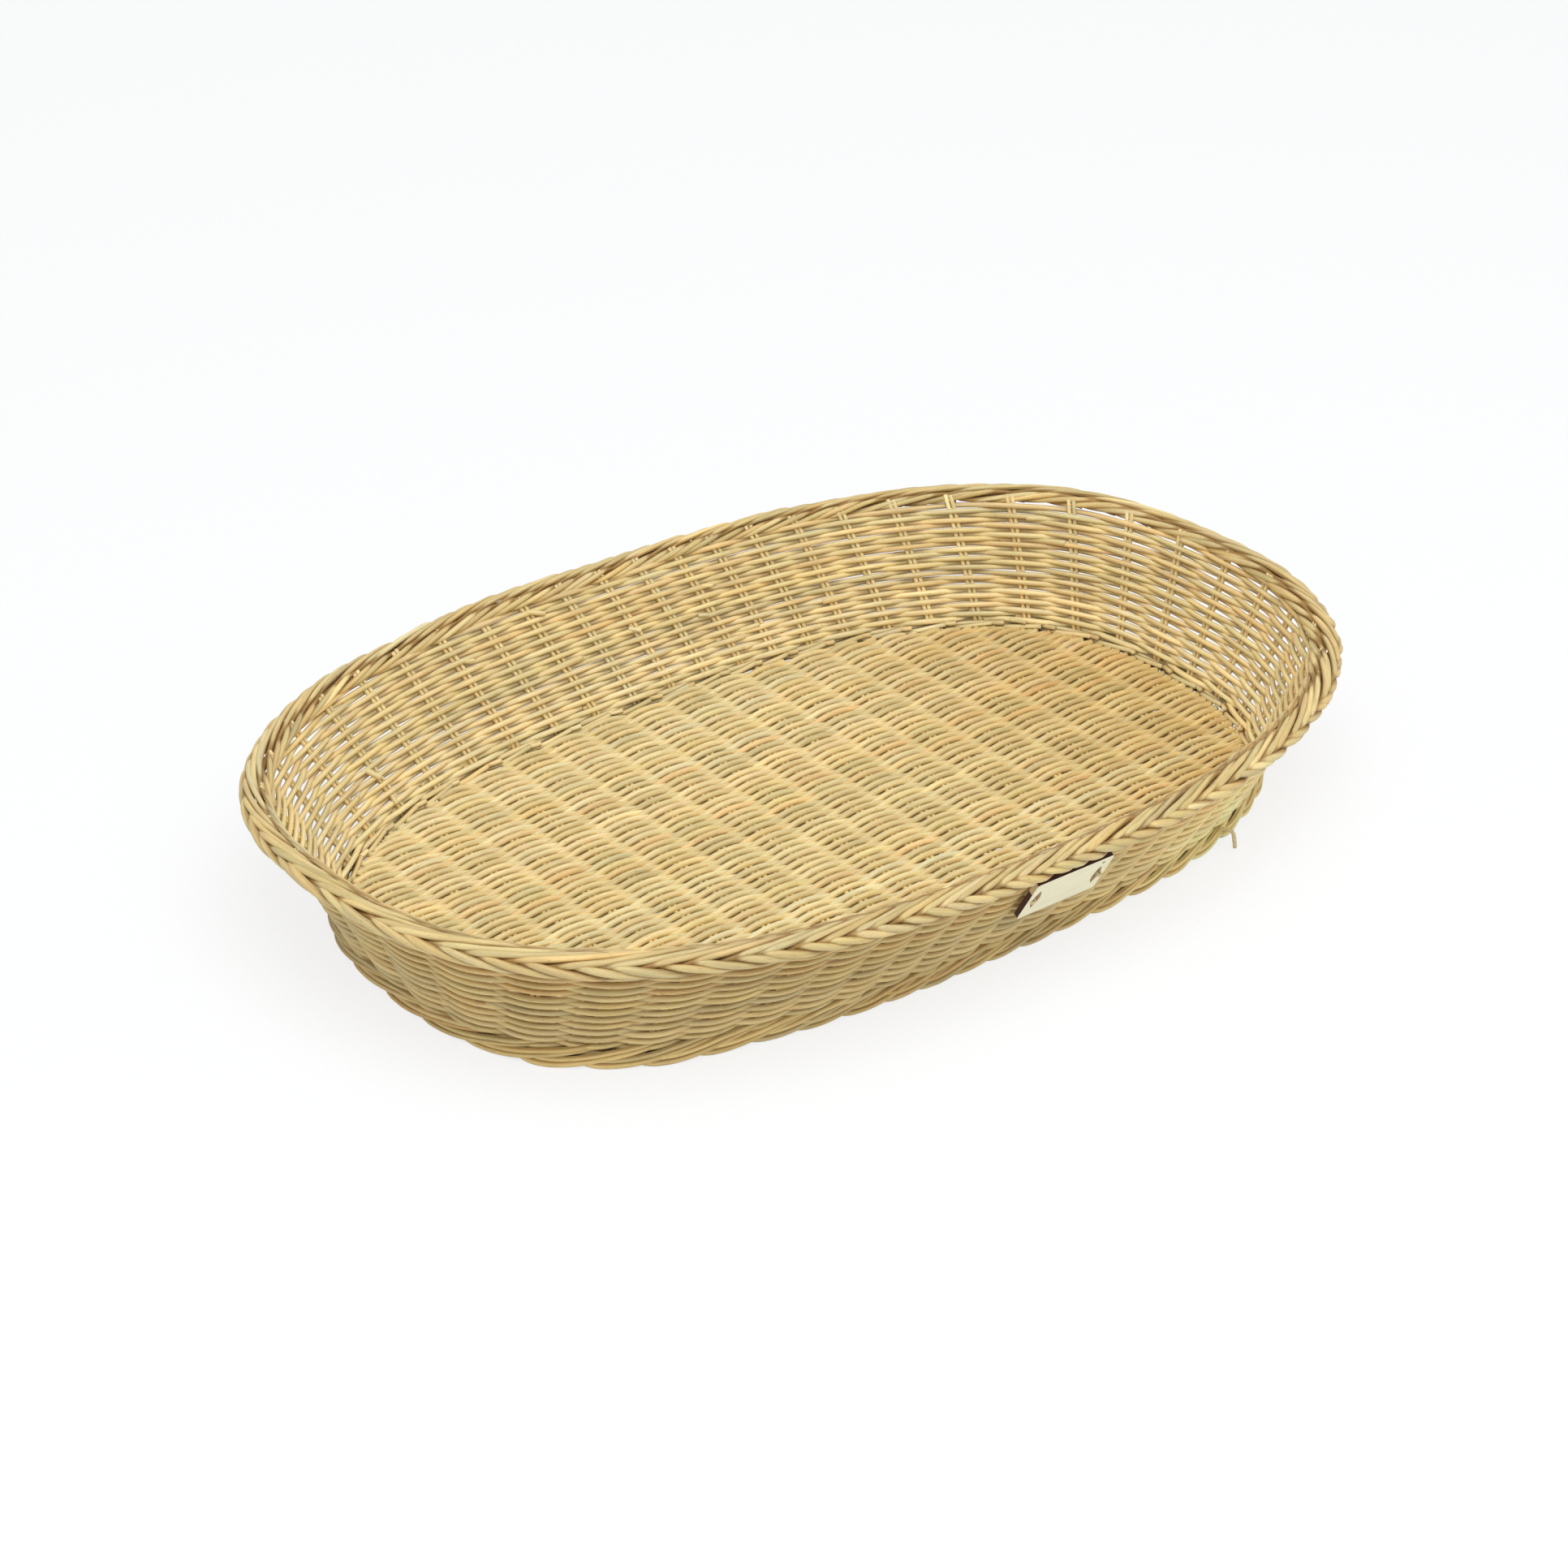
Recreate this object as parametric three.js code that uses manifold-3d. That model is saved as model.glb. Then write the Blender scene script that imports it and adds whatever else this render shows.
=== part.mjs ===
// Oval wicker basket, in millimetres, +Z up.
// The origin is on the ground, under the middle of the rim. +X is the long way and -Y is the front.
// Paired round stakes stand in a woven wall and lie in a woven floor. The ends of the wall stakes
// are plaited into the rim border. A plaited foot border holds the wall to the floor.
import * as THREE from 'three';
import { mergeVertices } from 'three/addons/utils/BufferGeometryUtils.js';
import Module from 'manifold-3d';

const wasm = await Module();
wasm.setup();

// Rim border: the outer edge of the basket at its widest
const RIM_HALF_LENGTH = 300;
const RIM_HALF_WIDTH = 205;
const RIM_SQUARENESS = 2.46;
const RIM_TWIST = 0.0142;
const RIM_HEIGHT = 79.8;
const END_RISE = 1.5;
const FRONT_RISE = 3;
const RIM_WIDTH = 18;
const RIM_DEPTH = 12.4;
const RIM_SEAT_DEPTH = 7.3;

// Outline of the rim border, from its lower outer edge over the top to its inner edge.
// Each corner is its inset as a share of the width and its drop as a share of the depth.
const RIM_UPPER_PROFILE = [
  [0.08, 0.86], [0, 0.52], [0.1, 0.21], [0.3, 0.04], [0.52, 0], [0.76, 0.06], [0.94, 0.24], [1, 0.48],
];
const RIM_LIP_BOTTOM = [0.32, 1];
const RIM_LIP_INSIDE = 0.97;

// Floor: a flat weave whose edge is an oval
const FLOOR_HALF_LENGTH = 256.6;
const FLOOR_HALF_WIDTH = 152.5;
const FLOOR_SQUARENESS = 2.65;
const FLOOR_SHIFT_X = 2.6;
const FLOOR_SHIFT_Y = -0.9;
const FLOOR_UNDERSIDE = 0.7;
const FLOOR_THICKNESS = 7;

// Foot border: the ring that the basket stands on
const FOOT_SOLE_WIDTH = 5.4;
const FOOT_SOLE_CHAMFER = 0.8;
const FOOT_SEAT_HEIGHT = 8;
const FOOT_LIP_HEIGHT = 12;
const FOOT_LIP_THICKNESS = 2.6;

// Outline of the foot's lip, from low to high. Each corner is its height as a share of the lip's
// height and its place outside the wall as a share of the lip's thickness.
const FOOT_LIP_PROFILE = [[0.16, 1.4], [0.52, 1], [0.86, 1], [1, 0.5], [0.97, 0]];

// Wall weave and the stakes in it
const WALL_THICKNESS = 7.8;
const WALL_TOP_INSET = 12.2;
const STAKE_DIAMETER = 2.8;
const STAKE_PAIR_PITCH = 3.1;
const STAKE_SIDES = 6;
const WALL_PAIRS = 53;
const FOOT_TENON = 0.8;
const RIM_TENON = 3.4;
const FLOOR_PAIRS = 19;
const FLOOR_PAIR_INSET = 14.1;
const FLOOR_TENON = 4;

// The wall pairs stand closer on the long sides than at the ends. A pair is off its even place by
// these shares of the rail: a fixed part, then the sine and cosine parts of one to four waves.
const PAIR_DRIFT = 0.0149;
const PAIR_DRIFT_WAVES = [[-0.0103, -0.0092], [0.0122, 0.0018], [-0.0006, -0.0015], [0.0013, -0.0029]];

// Each pair leans along the wall: how far its top is ahead of its bottom, as a share of the rail
const PAIR_LEAN = 0.006;
const PAIR_LEAN_SWING = 0.0115;
const PAIR_LEAN_PEAK = 0.15;

// Plywood tag on the front of the wall, with a slot at each end for its tie
const TAG_LENGTH = 50;
const TAG_HEIGHT = 29;
const TAG_THICKNESS = 3;
const TAG_CORNER = 2;
const TAG_X = 18.5;
const TAG_Z = 52.4;
const TAG_SLOT_LENGTH = 15;
const TAG_SLOT_WIDTH = 4.8;
const TAG_BAR_WIDTH = 3.1;
const TAG_HOLE_DIAMETER = 2;
const TAG_HOLE_DROP = 4;
const TIE_WIDTH = 2.4;
const TIE_THICKNESS = 1;
const TIE_TENON = 1.4;
const TIE_CHAMFER = 0.4;

// Loose end of a foot strand, which stands out at the front right and bends down
const LOOSE_END_DIAMETER = 2.2;
const LOOSE_END_X = 161;
const LOOSE_END_TENON = 1.6;
const LOOSE_END_START = 9;

// Its bend, as reach out of the lip and height above the ground
const LOOSE_END_BEND = [[2.3, 10.2], [5.2, 9.6], [6.5, 5], [7.1, 0.8]];

// Clearance between touching pieces, and how finely ovals are cut
const GAP = 0.3;
const RING_STEPS = 80;
const RAIL_STEPS = 1440;
const SEARCH_STEPS = 40;
const WELD_DISTANCE = 1e-5;
const LOOSE_END_STEPS = 10;

const CANE = 0xdcc188;
const PLY = 0xefe6c0;

const group = new THREE.Group();

function addMesh(name, geometry, colour, roughness) {
  const material = new THREE.MeshStandardMaterial({ color: colour, roughness, metalness: 0 });
  const mesh = new THREE.Mesh(geometry, material);
  mesh.name = name;
  group.add(mesh);
}

// Solids: a three.js geometry becomes a manifold for a cut, and comes back after it
function toSolid(geometry) {
  const bare = geometry.clone();
  bare.deleteAttribute('normal');
  bare.deleteAttribute('uv');
  const merged = mergeVertices(bare, WELD_DISTANCE);
  const vertProperties = new Float32Array(merged.attributes.position.array);
  const triVerts = new Uint32Array(merged.index.array);
  return new wasm.Manifold(new wasm.Mesh({ numProp: 3, vertProperties, triVerts }));
}

function toGeometry(solid) {
  const mesh = solid.getMesh();
  const geometry = new THREE.BufferGeometry();
  geometry.setAttribute('position', new THREE.BufferAttribute(new Float32Array(mesh.vertProperties), 3));
  geometry.setIndex(new THREE.BufferAttribute(new Uint32Array(mesh.triVerts), 1));
  geometry.computeVertexNormals();
  return geometry;
}

function joined(geometries) {
  return geometries.map(toSolid).reduce((whole, next) => whole.add(next));
}

// A rail is an oval in plan that is walked by its running length, from +X and to the left.
// at(share) gives the point, the outward direction and the polar phase there.
function makeRail(halfLength, halfWidth, squareness, twist, shiftX, shiftY) {
  function point(phase) {
    const cos = Math.cos(phase);
    const sin = Math.sin(phase);
    const round = (Math.abs(cos) ** squareness + Math.abs(sin) ** squareness) ** (-1 / squareness);
    const reach = round * (1 - twist * Math.sin(2 * phase));
    return new THREE.Vector2(shiftX + halfLength * reach * cos, shiftY + halfWidth * reach * sin);
  }
  const lengths = [0];
  for (let i = 1; i <= RAIL_STEPS; i++) {
    const before = point(((i - 1) / RAIL_STEPS) * 2 * Math.PI);
    const here = point((i / RAIL_STEPS) * 2 * Math.PI);
    lengths.push(lengths[i - 1] + before.distanceTo(here));
  }
  const length = lengths[RAIL_STEPS];
  function phaseAt(share) {
    const wanted = (share - Math.floor(share)) * length;
    let i = 1;
    while (lengths[i] < wanted) i++;
    const part = (wanted - lengths[i - 1]) / (lengths[i] - lengths[i - 1]);
    return ((i - 1 + part) / RAIL_STEPS) * 2 * Math.PI;
  }
  function at(share) {
    const phase = phaseAt(share);
    const step = Math.PI / RAIL_STEPS;
    const along = point(phase + step).sub(point(phase - step)).normalize();
    return { point: point(phase), out: new THREE.Vector2(along.y, -along.x), phase };
  }
  return { length, at };
}

const rimRail = makeRail(RIM_HALF_LENGTH, RIM_HALF_WIDTH, RIM_SQUARENESS, RIM_TWIST, 0, 0);
const floorRail = makeRail(
  FLOOR_HALF_LENGTH, FLOOR_HALF_WIDTH, FLOOR_SQUARENESS, 0, FLOOR_SHIFT_X, FLOOR_SHIFT_Y);

// Share of the rail, along its front half, where the rail reaches a given x
function frontShareAtX(rail, x) {
  let low = 0.5;
  let high = 1;
  for (let i = 0; i < SEARCH_STEPS; i++) {
    const middle = (low + high) / 2;
    if (rail.at(middle).point.x < x) low = middle;
    else high = middle;
  }
  return low;
}

function railPoint(rail, share, outward, z) {
  const here = rail.at(share);
  const plan = here.point.clone().addScaledVector(here.out, outward);
  return new THREE.Vector3(plan.x, plan.y, z);
}

function rimTop(share) {
  const phase = rimRail.at(share).phase;
  return RIM_HEIGHT + END_RISE * Math.cos(2 * phase) - FRONT_RISE * Math.sin(phase);
}

// The wall is straight from its seat on the foot border to its seat in the rim border
const WALL_BOTTOM = FOOT_SEAT_HEIGHT + GAP;
const WALL_BOTTOM_OUTSET = GAP + WALL_THICKNESS / 2;

function wallTop(share) {
  return rimTop(share) - RIM_SEAT_DEPTH - GAP;
}

function wallPoint(share, z, outward) {
  const low = railPoint(floorRail, share, WALL_BOTTOM_OUTSET, WALL_BOTTOM);
  const high = railPoint(rimRail, share, -WALL_TOP_INSET, wallTop(share));
  const part = (z - low.z) / (high.z - low.z);
  const place = low.lerp(high, part);
  const out = floorRail.at(share).out.clone().lerp(rimRail.at(share).out, part).normalize();
  place.x += out.x * outward;
  place.y += out.y * outward;
  return place;
}

function wallOuter(share, z, clear) {
  return wallPoint(share, z, WALL_THICKNESS / 2 + clear);
}

// A ring whose section, listed counter-clockwise with outward to the right, follows the oval
function makeRing(sectionAt) {
  const positions = [];
  const indices = [];
  const sides = sectionAt(0).length;
  for (let i = 0; i < RING_STEPS; i++) {
    for (const corner of sectionAt(i / RING_STEPS)) positions.push(corner.x, corner.y, corner.z);
    const next = (i + 1) % RING_STEPS;
    for (let j = 0; j < sides; j++) {
      const up = (j + 1) % sides;
      const a = i * sides + j;
      const b = next * sides + j;
      const c = next * sides + up;
      const d = i * sides + up;
      indices.push(a, b, c, a, c, d);
    }
  }
  const geometry = new THREE.BufferGeometry();
  geometry.setAttribute('position', new THREE.Float32BufferAttribute(positions, 3));
  geometry.setIndex(indices);
  return geometry;
}

function wallSection(share) {
  const half = WALL_THICKNESS / 2;
  const top = wallTop(share);
  return [
    wallPoint(share, WALL_BOTTOM, -half),
    wallPoint(share, WALL_BOTTOM, half),
    wallPoint(share, top, half),
    wallPoint(share, top, -half),
  ];
}

function footSection(share) {
  const soleStart = GAP + FOOT_SOLE_CHAMFER;
  const lip = FOOT_LIP_PROFILE.map(([height, out]) => {
    return wallOuter(share, height * FOOT_LIP_HEIGHT, GAP + out * FOOT_LIP_THICKNESS);
  });
  return [
    railPoint(floorRail, share, GAP, FOOT_SOLE_CHAMFER),
    railPoint(floorRail, share, soleStart, 0),
    railPoint(floorRail, share, soleStart + FOOT_SOLE_WIDTH, 0),
    ...lip,
    wallOuter(share, FOOT_SEAT_HEIGHT, GAP),
    railPoint(floorRail, share, GAP, FOOT_SEAT_HEIGHT),
  ];
}

function rimSection(share) {
  const top = rimTop(share);
  const seat = top - RIM_SEAT_DEPTH;
  const corner = ([inset, drop]) => {
    return railPoint(rimRail, share, -inset * RIM_WIDTH, top - drop * RIM_DEPTH);
  };
  return [
    ...RIM_UPPER_PROFILE.map(corner),
    railPoint(rimRail, share, -RIM_WIDTH + GAP, seat),
    wallOuter(share, seat, GAP),
    wallOuter(share, top - RIM_DEPTH * RIM_LIP_INSIDE, GAP),
    corner(RIM_LIP_BOTTOM),
  ];
}

// Axis frame of a straight piece that runs from one point to another
function alongMatrix(from, to, sideHint) {
  const axis = to.clone().sub(from).normalize();
  const depth = axis.clone().cross(sideHint).normalize();
  const side = depth.clone().cross(axis);
  const matrix = new THREE.Matrix4().makeBasis(side, depth, axis);
  return matrix.setPosition(from.clone().add(to).multiplyScalar(0.5));
}

function makeRod(from, to, sideHint, diameter) {
  const radius = diameter / 2;
  const rod = new THREE.CylinderGeometry(radius, radius, from.distanceTo(to), STAKE_SIDES);
  rod.rotateX(Math.PI / 2);
  return rod.applyMatrix4(alongMatrix(from, to, sideHint));
}

// The straight slot that a pair of stakes leaves in what it passes through
function makePairSlot(from, to, sideHint) {
  const width = STAKE_PAIR_PITCH + STAKE_DIAMETER + 2 * GAP;
  const depth = STAKE_DIAMETER + 2 * GAP;
  const slot = new THREE.BoxGeometry(width, depth, from.distanceTo(to) + 2 * GAP);
  return slot.applyMatrix4(alongMatrix(from, to, sideHint));
}

function pairShare(index) {
  const even = (index + 0.5) / WALL_PAIRS;
  return PAIR_DRIFT_WAVES.reduce((share, [sine, cosine], i) => {
    const turn = 2 * Math.PI * (i + 1) * even;
    return share + sine * Math.sin(turn) + cosine * Math.cos(turn);
  }, even + PAIR_DRIFT);
}

// Wall stakes: each pair rises from a socket in the foot border and ends inside the rim border
function wallPair(index) {
  const share = pairShare(index);
  const lean = PAIR_LEAN + PAIR_LEAN_SWING * Math.cos(4 * Math.PI * (share - PAIR_LEAN_PEAK));
  const low = share - lean / 2;
  const high = share + lean / 2;
  const from = wallPoint(low, FOOT_SEAT_HEIGHT - FOOT_TENON, 0);
  const to = wallPoint(high, rimTop(high) - RIM_SEAT_DEPTH + RIM_TENON, 0);
  const out = rimRail.at(share).out;
  const axis = to.clone().sub(from).normalize();
  const level = new THREE.Vector3(-out.y, out.x, 0);
  const side = level.addScaledVector(axis, -level.dot(axis)).normalize();
  const shift = side.clone().multiplyScalar(STAKE_PAIR_PITCH / 2);
  return {
    rods: [-1, 1].map((way) => makeRod(
      from.clone().addScaledVector(shift, way), to.clone().addScaledVector(shift, way),
      side, STAKE_DIAMETER)),
    slot: makePairSlot(from, to, side),
  };
}

// Floor stakes: each pair lies across the floor, in sockets at both sides of the foot
const FLOOR_MIDDLE = FLOOR_UNDERSIDE + FLOOR_THICKNESS / 2;

function floorHalfChord(x) {
  const share = Math.abs(x - FLOOR_SHIFT_X) / FLOOR_HALF_LENGTH;
  return FLOOR_HALF_WIDTH * (1 - share ** FLOOR_SQUARENESS) ** (1 / FLOOR_SQUARENESS);
}

function floorPair(index) {
  const place = (2 * index) / (FLOOR_PAIRS - 1) - 1;
  const middle = FLOOR_SHIFT_X + place * (FLOOR_HALF_LENGTH - FLOOR_PAIR_INSET);
  const side = new THREE.Vector3(1, 0, 0);
  const ends = (x, half) => [
    new THREE.Vector3(x, FLOOR_SHIFT_Y - half, FLOOR_MIDDLE),
    new THREE.Vector3(x, FLOOR_SHIFT_Y + half, FLOOR_MIDDLE),
  ];
  const places = [-1, 1].map((way) => middle + (way * STAKE_PAIR_PITCH) / 2);
  const halves = places.map((x) => floorHalfChord(x) + FLOOR_TENON);
  return {
    rods: places.map((x, i) => makeRod(...ends(x, halves[i]), side, STAKE_DIAMETER)),
    slot: makePairSlot(...ends(middle, Math.max(...halves)), side),
  };
}

// Tag: a flat plate that leans with the wall, its back a clearance away from the weave
const tagShare = frontShareAtX(rimRail, TAG_X);

function tagMatrix() {
  const foot = wallOuter(tagShare, TAG_Z, 0);
  const upward = wallOuter(tagShare, TAG_Z + TAG_HEIGHT / 2, 0).sub(foot).normalize();
  const out = rimRail.at(tagShare).out;
  const along = new THREE.Vector3(-out.y, out.x, 0);
  const face = along.clone().cross(upward).normalize();
  return new THREE.Matrix4().makeBasis(along, upward, face)
    .setPosition(foot.addScaledVector(face, GAP));
}

const TAG_SLOT_X = TAG_LENGTH / 2 - TAG_BAR_WIDTH - TAG_SLOT_WIDTH / 2;

function makeTagPlate() {
  const x = TAG_LENGTH / 2 - TAG_CORNER;
  const y = TAG_HEIGHT / 2 - TAG_CORNER;
  const plate = new THREE.Shape();
  plate.absarc(x, y, TAG_CORNER, 0, Math.PI / 2);
  plate.absarc(-x, y, TAG_CORNER, Math.PI / 2, Math.PI);
  plate.absarc(-x, -y, TAG_CORNER, Math.PI, 1.5 * Math.PI);
  plate.absarc(x, -y, TAG_CORNER, 1.5 * Math.PI, 2 * Math.PI);
  for (const way of [-1, 1]) {
    const slot = new THREE.Path();
    const middle = way * TAG_SLOT_X;
    slot.moveTo(middle, -TAG_SLOT_LENGTH / 2);
    slot.quadraticCurveTo(middle + TAG_SLOT_WIDTH, 0, middle, TAG_SLOT_LENGTH / 2);
    slot.quadraticCurveTo(middle - TAG_SLOT_WIDTH, 0, middle, -TAG_SLOT_LENGTH / 2);
    plate.holes.push(slot);
  }
  const hole = new THREE.Path();
  hole.absarc(TAG_SLOT_X, TAG_HEIGHT / 2 - TAG_HOLE_DROP, TAG_HOLE_DIAMETER / 2, 0, 2 * Math.PI);
  plate.holes.push(hole);
  const settings = { depth: TAG_THICKNESS, bevelEnabled: false, curveSegments: 4 };
  return new THREE.ExtrudeGeometry(plate, settings).applyMatrix4(tagMatrix());
}

// Each tie goes through its slot, over the end bar of the tag, and into the weave on both sides
function tieProfile(way, grow) {
  const inner = way * (TAG_LENGTH / 2 - TAG_BAR_WIDTH - GAP);
  const outer = way * (TAG_LENGTH / 2 + GAP);
  const bottom = -GAP - TIE_TENON - grow;
  const crown = TAG_THICKNESS + GAP;
  const far = TIE_THICKNESS + grow;
  const profile = new THREE.Shape();
  profile.moveTo(inner - way * far, bottom);
  profile.lineTo(inner + way * grow, bottom);
  profile.lineTo(inner + way * grow, crown - grow);
  profile.lineTo(outer - way * grow, crown - grow);
  profile.lineTo(outer - way * grow, bottom);
  profile.lineTo(outer + way * far, bottom);
  profile.lineTo(outer + way * far, crown + far - TIE_CHAMFER);
  profile.lineTo(outer + way * (far - TIE_CHAMFER), crown + far);
  profile.lineTo(inner - way * (far - TIE_CHAMFER), crown + far);
  profile.lineTo(inner - way * far, crown + far - TIE_CHAMFER);
  return profile;
}

function makeTie(way, grow) {
  const settings = { depth: TIE_WIDTH + 2 * grow, bevelEnabled: false };
  const tie = new THREE.ExtrudeGeometry(tieProfile(way, grow), settings);
  tie.rotateX(Math.PI / 2);
  tie.translate(0, TIE_WIDTH / 2 + grow, 0);
  return tie.applyMatrix4(tagMatrix());
}

// Loose end: out of the foot's lip, over in a bend, and down to just above the ground
const looseShare = frontShareAtX(floorRail, LOOSE_END_X);

function loosePoint([reach, z]) {
  return wallOuter(looseShare, LOOSE_END_START, GAP + FOOT_LIP_THICKNESS + reach).setZ(z);
}

function makeLooseEnd() {
  const root = loosePoint([-LOOSE_END_TENON, LOOSE_END_START]);
  const path = new THREE.CatmullRomCurve3([root, ...LOOSE_END_BEND.map(loosePoint)]);
  const section = new THREE.Shape();
  section.absarc(0, 0, LOOSE_END_DIAMETER / 2, 0, 2 * Math.PI);
  const settings = { steps: LOOSE_END_STEPS, curveSegments: STAKE_SIDES, extrudePath: path };
  return new THREE.ExtrudeGeometry(section, settings);
}

function makeLooseSocket() {
  const width = LOOSE_END_DIAMETER + 2 * GAP;
  const from = loosePoint([-LOOSE_END_TENON - GAP, LOOSE_END_START]);
  const to = loosePoint(LOOSE_END_BEND[0]);
  const socket = new THREE.BoxGeometry(width, width, from.distanceTo(to));
  return socket.applyMatrix4(alongMatrix(from, to, new THREE.Vector3(0, 0, 1)));
}

function makeFloorSlab() {
  const edge = [];
  for (let i = 0; i < RING_STEPS; i++) edge.push(floorRail.at(i / RING_STEPS).point);
  const slab = new THREE.ExtrudeGeometry(
    new THREE.Shape(edge), { depth: FLOOR_THICKNESS, bevelEnabled: false });
  return slab.translate(0, 0, FLOOR_UNDERSIDE);
}

const wallPairs = Array.from({ length: WALL_PAIRS }, (_, i) => wallPair(i));
const floorPairs = Array.from({ length: FLOOR_PAIRS }, (_, i) => floorPair(i));
const wallSlots = joined(wallPairs.map((pair) => pair.slot));
const floorSlots = joined(floorPairs.map((pair) => pair.slot));
const tieSlots = joined([makeTie(-1, GAP), makeTie(1, GAP)]);

const floorWeave = toSolid(makeFloorSlab()).subtract(floorSlots);
const wallWeave = toSolid(makeRing(wallSection)).subtract(wallSlots).subtract(tieSlots);
const footBorder = toSolid(makeRing(footSection))
  .subtract(wallSlots).subtract(floorSlots).subtract(toSolid(makeLooseSocket()));
const wallStakes = joined(wallPairs.flatMap((pair) => pair.rods));
const rimBorder = toSolid(makeRing(rimSection)).add(wallStakes);

addMesh('floor_weave', toGeometry(floorWeave), CANE, 0.7);
addMesh('wall_weave', toGeometry(wallWeave), CANE, 0.7);
addMesh('foot_border', toGeometry(footBorder), CANE, 0.65);
addMesh('wall_stakes_and_rim', toGeometry(rimBorder), CANE, 0.65);
floorPairs.flatMap((pair) => pair.rods).forEach((rod, i) => {
  addMesh(`floor_stake_${String(i + 1).padStart(2, '0')}`, rod, CANE, 0.65);
});
addMesh('tag_plate', makeTagPlate(), PLY, 0.6);
addMesh('tag_tie_left', makeTie(-1, 0), CANE, 0.65);
addMesh('tag_tie_right', makeTie(1, 0), CANE, 0.65);
addMesh('loose_cane_end', makeLooseEnd(), CANE, 0.65);

export default group;
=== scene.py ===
"""Oval wicker basket: its canes, tag and ties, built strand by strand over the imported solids.

Lengths are in millimetres until a mesh is made. A share is a part of the way round the oval, from
+X and to the left, so the back is at a quarter and the front at three quarters. A drift is the
spacing of a strand's random wander and its size. A spread is the size of one random change.
"""

import bpy
import numpy as np
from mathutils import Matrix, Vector


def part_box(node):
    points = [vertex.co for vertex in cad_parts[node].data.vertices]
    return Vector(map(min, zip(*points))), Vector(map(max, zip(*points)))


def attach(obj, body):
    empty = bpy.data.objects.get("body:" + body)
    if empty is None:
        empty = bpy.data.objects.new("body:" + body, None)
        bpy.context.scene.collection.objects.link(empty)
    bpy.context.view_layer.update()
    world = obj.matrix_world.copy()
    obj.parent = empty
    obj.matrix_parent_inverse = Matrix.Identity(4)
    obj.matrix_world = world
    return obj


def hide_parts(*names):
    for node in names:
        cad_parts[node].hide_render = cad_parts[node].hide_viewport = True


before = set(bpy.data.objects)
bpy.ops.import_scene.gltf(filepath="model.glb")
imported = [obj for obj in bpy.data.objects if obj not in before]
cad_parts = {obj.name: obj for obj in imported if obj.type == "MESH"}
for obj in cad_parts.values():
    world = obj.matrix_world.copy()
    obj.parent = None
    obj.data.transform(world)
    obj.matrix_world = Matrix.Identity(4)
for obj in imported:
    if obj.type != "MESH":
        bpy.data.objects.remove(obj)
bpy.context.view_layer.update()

MM = 0.001
TAU = 2 * np.pi


def node_box(node):
    low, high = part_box(node)
    return np.array(low) / MM, np.array(high) / MM


rim_low, rim_high = node_box("wall_stakes_and_rim")
rim_half = (rim_high - rim_low) / 2
floor_low, floor_high = node_box("floor_weave")
floor_half = (floor_high - floor_low) / 2
floor_middle = (floor_high + floor_low) / 2


def blend_between(a, b, part):
    return a + (b - a) * part


def smooth(part):
    """A part from 0 to 1 that starts and stops gently."""
    return part * part * (3 - 2 * part)


def eased(low, high, value):
    """0 below low, 1 above high, smooth between."""
    return smooth(np.clip((value - low) / (high - low), 0, 1))


def hump(away, reach):
    """1 in the middle, about a third at the reach, and nothing far away."""
    return np.exp(-((away / reach) ** 2))


def around(share, middle):
    """How far a share lies from a middle one, the short way round."""
    return np.mod(share - middle + 0.5, 1) - 0.5


class Rail:
    """An oval in plan, walked by its running length."""

    STEPS = 2880
    NUDGE = 1e-3

    def __init__(self, half, squareness, twist=0.0, shift=(0.0, 0.0)):
        self.squareness, self.twist, self.shift = squareness, twist, np.array(shift)
        self.half = np.array([1.0, 1.0])
        self.phases = np.linspace(0, TAU, self.STEPS + 1)
        reach = np.abs(self.point(self.phases) - self.shift).max(0)
        self.half = half / reach
        step = np.linalg.norm(np.diff(self.point(self.phases), axis=0), axis=1)
        self.run = np.concatenate([[0], np.cumsum(step)])
        self.length = self.run[-1]

    def point(self, phase):
        cos, sin = np.cos(phase), np.sin(phase)
        power = self.squareness
        rounded = (np.abs(cos) ** power + np.abs(sin) ** power) ** (-1 / power)
        reach = rounded * (1 - self.twist * np.sin(2 * phase))
        return np.stack([reach * cos, reach * sin], -1) * self.half + self.shift

    def at(self, share):
        """Points, outward directions and phases at these shares."""
        phase = np.interp(np.mod(share, 1) * self.length, self.run, self.phases)
        along = self.point(phase + self.NUDGE) - self.point(phase - self.NUDGE)
        along /= np.linalg.norm(along, axis=-1, keepdims=True)
        return self.point(phase), np.stack([along[..., 1], -along[..., 0]], -1), phase


RIM_SQUARENESS = 2.46
RIM_TWIST = 0.0142
END_RISE = 1.5
FRONT_RISE = 3
FLOOR_SQUARENESS = 2.65

rim_rail = Rail(rim_half[:2], RIM_SQUARENESS, RIM_TWIST)
floor_rail = Rail(floor_half[:2], FLOOR_SQUARENESS, shift=floor_middle[:2])
rim_height = rim_high[2] - END_RISE / 2


def rim_top(share):
    phase = rim_rail.at(share)[2]
    return rim_height + END_RISE * np.cos(2 * phase) - FRONT_RISE * np.sin(phase)


# The rim's highest place is as high as the solid's
rim_height -= rim_top(np.linspace(0, 1, 721)).max() - rim_high[2]


def round_profile(share, knots):
    """A value that eases round the oval through these shares and values."""
    shares, values = np.array(knots).T
    shares = np.concatenate([shares[-1:] - 1, shares, shares[:1] + 1])
    values = np.concatenate([values[-1:], values, values[:1]])
    at = np.mod(share, 1)
    i = np.clip(np.searchsorted(shares, at, side="right") - 1, 0, len(shares) - 2)
    part = (at - shares[i]) / (shares[i + 1] - shares[i])
    return blend_between(values[i], values[i + 1], smooth(part))


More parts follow.
